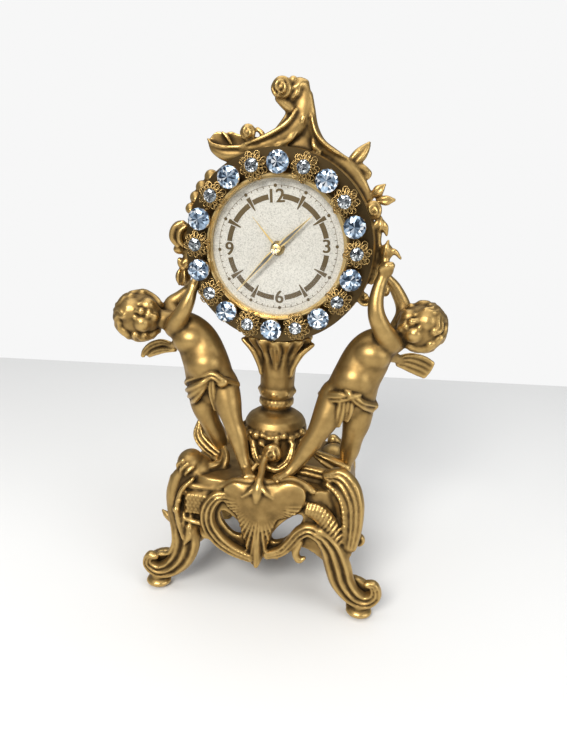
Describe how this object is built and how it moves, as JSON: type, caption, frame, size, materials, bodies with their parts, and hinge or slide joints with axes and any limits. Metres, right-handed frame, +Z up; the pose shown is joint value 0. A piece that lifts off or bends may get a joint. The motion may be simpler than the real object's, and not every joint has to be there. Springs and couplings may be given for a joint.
{
  "type": "figural table alarm clock",
  "caption": "Gilt cast table alarm clock: a round stone-set dial in a leafy surround, held on a flared stem by winged children over a scrolled footed base.",
  "frame": {"origin": "centre of the object's outline on the table, at the underside of the foot pads", "axes": "+Z up, -Y toward the dial's face, +X to the right as seen from the front"},
  "size_m": [0.12, 0.0628, 0.1775],
  "materials": {
    "gilt": "antique gilt over cast metal, dark in the hollows",
    "bezel_gilt": "bright gilt wire and cups",
    "case_brass": "lacquered brass, satin",
    "dial_silver": "silvered white, fine grain",
    "clear_glass": "clear, polished",
    "blue_stone": "faceted paste stone with a silver back",
    "grey_stone": "faceted paste stone with a silver back",
    "movement_brass": "brushed brass",
    "steel": "satin steel",
    "hand_inlay": "gilt edges round a grey inlay",
    "control_brass": "polished brass"
  },
  "bodies": {
    "case": {"dial_surround": "gilt", "pedestal_stem": "gilt", "left_cherub": "gilt", "right_cherub": "gilt", "base_casting": "gilt", "bezel_ring": "bezel_gilt", "stone_cups": "bezel_gilt", "floret_settings": "bezel_gilt", "clock_drum": "case_brass", "back_cover": "case_brass", "retaining_ring": "case_brass", "dial_plate": "dial_silver", "crystal": "clear_glass", "large_stones": "blue_stone", "small_stones": "grey_stone", "front_plate": "movement_brass", "back_plate": "movement_brass", "plate_pillars": "steel", "movement_posts": "steel", "cover_posts": "steel", "cover_screws": "steel", "tie_rod": "steel", "tie_rod_nut": "steel", "figure_screws": "steel"},
    "minute_arbor": {"centre_wheel": "movement_brass", "cannon_pinion": "movement_brass", "minute_hand": "hand_inlay", "hand_set_knob": "control_brass"},
    "minute_wheel_body": {"minute_wheel": "movement_brass"},
    "hour_sleeve": {"hour_wheel": "movement_brass", "hour_hand": "hand_inlay"},
    "third_arbor": {"third_wheel": "movement_brass"},
    "fourth_arbor": {"fourth_wheel": "movement_brass"},
    "escape_arbor": {"escape_wheel": "movement_brass"},
    "pallet_body": {"pallet_fork": "steel"},
    "balance_body": {"balance_wheel": "movement_brass", "hairspring": "steel"},
    "going_barrel_body": {"going_barrel": "movement_brass", "going_barrel_cap": "movement_brass", "going_mainspring": "steel"},
    "going_winding_body": {"going_winding_arbor": "steel", "going_ratchet": "steel", "going_key": "control_brass"},
    "going_click_body": {"going_click": "steel"},
    "alarm_barrel_body": {"alarm_barrel": "movement_brass", "alarm_barrel_cap": "movement_brass", "alarm_mainspring": "steel"},
    "alarm_winding_body": {"alarm_winding_arbor": "steel", "alarm_ratchet": "steel", "alarm_key": "control_brass"},
    "alarm_click_body": {"alarm_click": "steel"},
    "alarm_escape_body": {"alarm_escape_wheel": "movement_brass"},
    "alarm_hammer_body": {"alarm_hammer": "steel"},
    "alarm_setting_body": {"alarm_set_arbor": "steel", "alarm_set_knob": "control_brass"},
    "alarm_display_body": {"alarm_wheel": "movement_brass", "alarm_hand": "hand_inlay"},
    "alarm_stop_body": {"alarm_stop_button": "control_brass"},
    "regulator_body": {"regulator": "steel"}
  },
  "joints": [
    {"name": "minute_spin", "type": "hinge", "parent": "case", "child": "minute_arbor", "pos_m": [0, 0, 0.1246], "axis": [0, 1, 0], "continuous": true},
    {"name": "minute_wheel_spin", "type": "hinge", "parent": "case", "child": "minute_wheel_body", "pos_m": [-0.00205, 0, 0.11896], "axis": [0, 1, 0], "continuous": true},
    {"name": "hour_spin", "type": "hinge", "parent": "case", "child": "hour_sleeve", "pos_m": [0, 0, 0.1246], "axis": [0, 1, 0], "continuous": true},
    {"name": "third_spin", "type": "hinge", "parent": "case", "child": "third_arbor", "pos_m": [0.00233, 0, 0.13329], "axis": [0, 1, 0], "continuous": true},
    {"name": "fourth_spin", "type": "hinge", "parent": "case", "child": "fourth_arbor", "pos_m": [-0.00406, 0, 0.13562], "axis": [0, 1, 0], "continuous": true},
    {"name": "escape_spin", "type": "hinge", "parent": "case", "child": "escape_arbor", "pos_m": [-0.00082, 0, 0.14123], "axis": [0, 1, 0], "continuous": true},
    {"name": "going_barrel_spin", "type": "hinge", "parent": "case", "child": "going_barrel_body", "pos_m": [-0.00987, 0, 0.12101], "axis": [0, 1, 0], "continuous": true},
    {"name": "pallet_rock", "type": "hinge", "parent": "case", "child": "pallet_body", "pos_m": [0.00444, 0, 0.14315], "axis": [0, 1, 0], "range_deg": [-5, 5]},
    {"name": "balance_swing", "type": "hinge", "parent": "case", "child": "balance_body", "pos_m": [0.0105, 0, 0.13965], "axis": [0, 1, 0], "range_deg": [-150, 150], "stiffness_Nm_per_rad": 0.000006},
    {"name": "going_winding_spin", "type": "hinge", "parent": "case", "child": "going_winding_body", "pos_m": [-0.00987, 0, 0.12101], "axis": [0, 1, 0], "continuous": true},
    {"name": "going_click_lift", "type": "hinge", "parent": "case", "child": "going_click_body", "pos_m": [-0.01679, 0, 0.12108], "axis": [0, 1, 0], "range_deg": [-12, 0]},
    {"name": "alarm_barrel_spin", "type": "hinge", "parent": "case", "child": "alarm_barrel_body", "pos_m": [0.01222, 0, 0.12015], "axis": [0, 1, 0], "continuous": true},
    {"name": "alarm_escape_spin", "type": "hinge", "parent": "case", "child": "alarm_escape_body", "pos_m": [0.01074, 0, 0.11178], "axis": [0, 1, 0], "continuous": true},
    {"name": "alarm_winding_spin", "type": "hinge", "parent": "case", "child": "alarm_winding_body", "pos_m": [0.01222, 0, 0.12015], "axis": [0, 1, 0], "continuous": true},
    {"name": "alarm_click_lift", "type": "hinge", "parent": "case", "child": "alarm_click_body", "pos_m": [0.01465, 0, 0.12664], "axis": [0, 1, 0], "range_deg": [-12, 0]},
    {"name": "alarm_hammer_swing", "type": "hinge", "parent": "case", "child": "alarm_hammer_body", "pos_m": [0.0028, 0, 0.1091], "axis": [0, 1, 0], "range_deg": [0, 10]},
    {"name": "alarm_setting_spin", "type": "hinge", "parent": "case", "child": "alarm_setting_body", "pos_m": [0.00897, 0, 0.12878], "axis": [0, 1, 0], "continuous": true},
    {"name": "alarm_display_spin", "type": "hinge", "parent": "case", "child": "alarm_display_body", "pos_m": [0, 0, 0.1246], "axis": [0, 1, 0], "continuous": true},
    {"name": "alarm_stop_slide", "type": "slide", "parent": "case", "child": "alarm_stop_body", "axis": [0, 1, 0], "range_m": [-0.002, 0]},
    {"name": "regulator_turn", "type": "hinge", "parent": "case", "child": "regulator_body", "pos_m": [0.0105, 0, 0.13965], "axis": [0, 1, 0], "range_deg": [-20, 20]}
  ],
  "couplings": [
    {"joint": "minute_wheel_spin", "follows": "minute_spin", "ratio": -0.33333},
    {"joint": "hour_spin", "follows": "minute_spin", "ratio": 0.083333},
    {"joint": "third_spin", "follows": "minute_spin", "ratio": -8},
    {"joint": "fourth_spin", "follows": "minute_spin", "ratio": 60},
    {"joint": "escape_spin", "follows": "minute_spin", "ratio": -480},
    {"joint": "going_barrel_spin", "follows": "minute_spin", "ratio": -0.16667},
    {"joint": "alarm_escape_spin", "follows": "alarm_barrel_spin", "ratio": -7.5},
    {"joint": "alarm_display_spin", "follows": "alarm_setting_spin", "ratio": -0.5}
  ]
}
